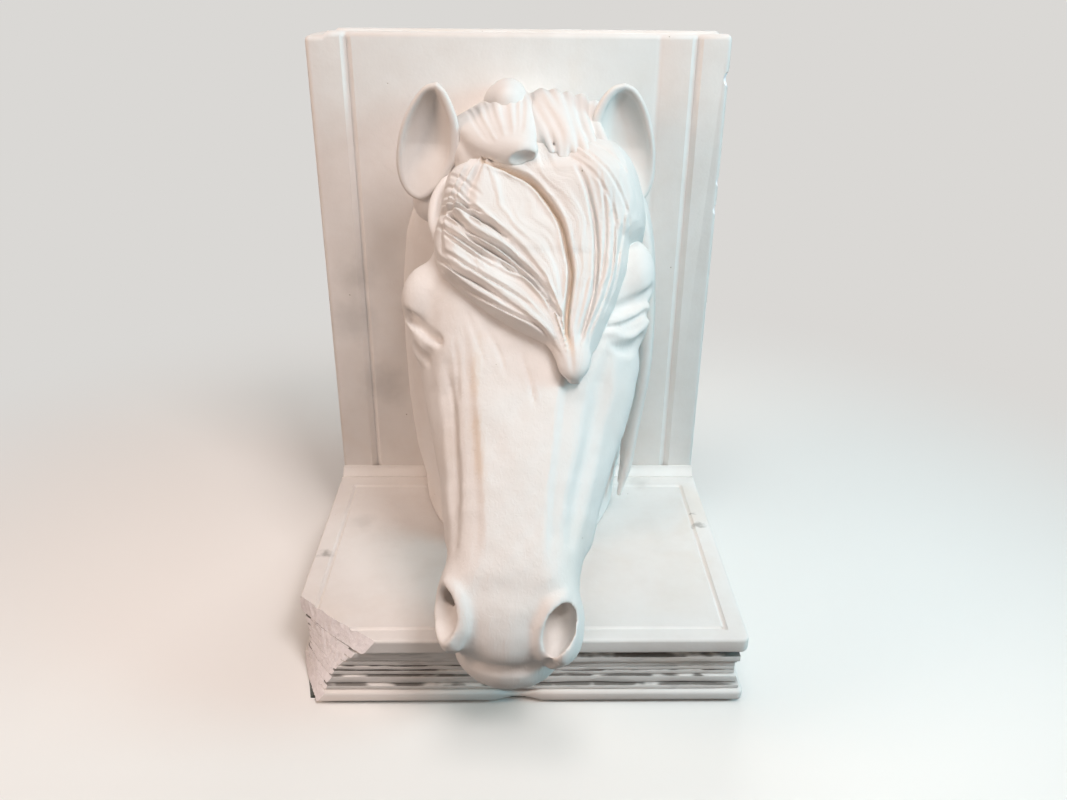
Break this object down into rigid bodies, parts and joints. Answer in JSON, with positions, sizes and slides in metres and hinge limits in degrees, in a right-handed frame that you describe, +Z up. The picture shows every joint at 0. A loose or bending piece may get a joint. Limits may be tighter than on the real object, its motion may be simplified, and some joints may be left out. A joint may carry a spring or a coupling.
{
  "type": "book end",
  "caption": "Cast plaster book end: a horse's head and neck on a standing book, which stands on a lying book, with felt underneath.",
  "frame": {"origin": "middle of the lying book's footprint, on the underside of its felt", "axes": "+Z up; -Y is the way the horse looks, away from the row of books; +X is the viewer's right when looking at the horse's face"},
  "size_m": [0.137, 0.1478, 0.1845],
  "materials": {
    "plaster": "matte",
    "steel_rod": "matte",
    "felt": "matte"
  },
  "bodies": {
    "root": {"lower_book_bottom_board": "plaster", "lower_book_page_block": "plaster", "lower_book_top_board": "plaster", "lower_book_spine": "plaster", "upright_front_board": "plaster", "upright_page_block": "plaster", "upright_back_board": "plaster", "upright_spine": "plaster", "joint_bead": "plaster", "horse_neck": "plaster", "horse_head": "plaster", "left_ear": "plaster", "right_ear": "plaster", "forelock": "plaster", "poll_lock": "plaster", "mane_crest": "plaster", "mane_side_lock": "plaster", "neck_armature_rod": "steel_rod", "base_dowels": "steel_rod", "felt_pad": "felt"}
  },
  "joints": []
}
